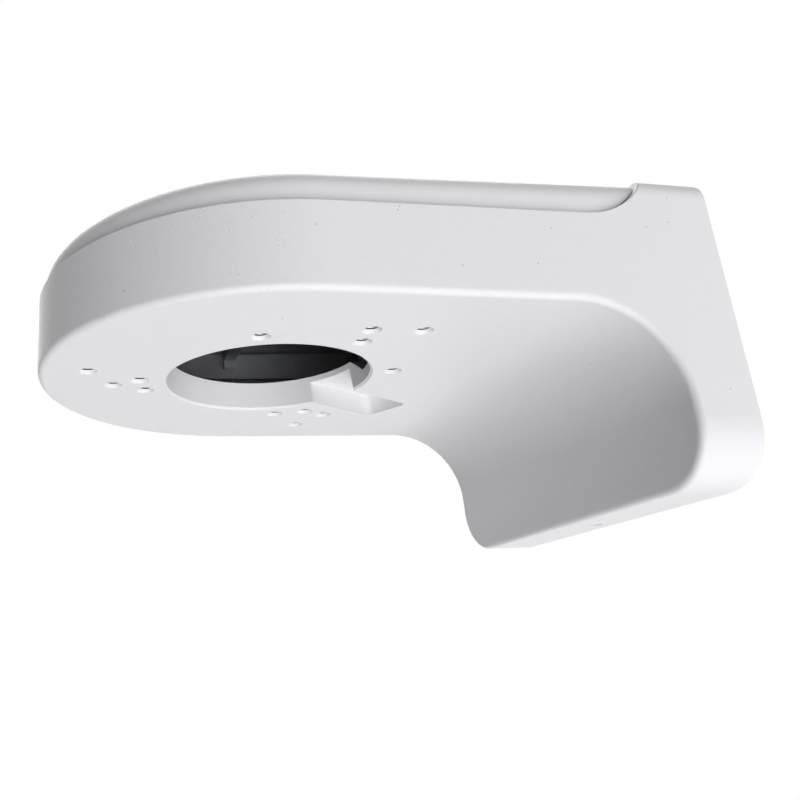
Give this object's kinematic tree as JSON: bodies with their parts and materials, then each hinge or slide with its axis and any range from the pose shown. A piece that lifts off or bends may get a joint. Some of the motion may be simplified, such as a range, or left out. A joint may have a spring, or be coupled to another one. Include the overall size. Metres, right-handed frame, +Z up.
{
  "type": "camera wall bracket",
  "caption": "Hollow cast arm with a round end and a closing cover, swept down into a wall flange, for a dome camera screwed to its underside.",
  "frame": {"origin": "centre of the wall face, which is the middle of the four wall holes", "axes": "+Z up, +Y out of the back into the wall, so the arm points along -Y"},
  "size_m": [0.122, 0.16, 0.0764],
  "materials": {
    "powder_coat": "satin",
    "seal_rubber": "matte",
    "plate_steel": "satin",
    "screw_steel": "satin"
  },
  "bodies": {
    "root": {"arm_casting": "powder_coat", "top_cover": "powder_coat", "cover_seal": "seal_rubber", "wall_plate": "plate_steel", "wall_seal": "seal_rubber", "lock_screw": "screw_steel", "cover_screw_1": "screw_steel", "cover_screw_2": "screw_steel", "cover_screw_3": "screw_steel", "cover_screw_4": "screw_steel", "screw_washer_1": "seal_rubber", "screw_washer_2": "seal_rubber", "screw_washer_3": "seal_rubber", "screw_washer_4": "seal_rubber"}
  },
  "joints": []
}
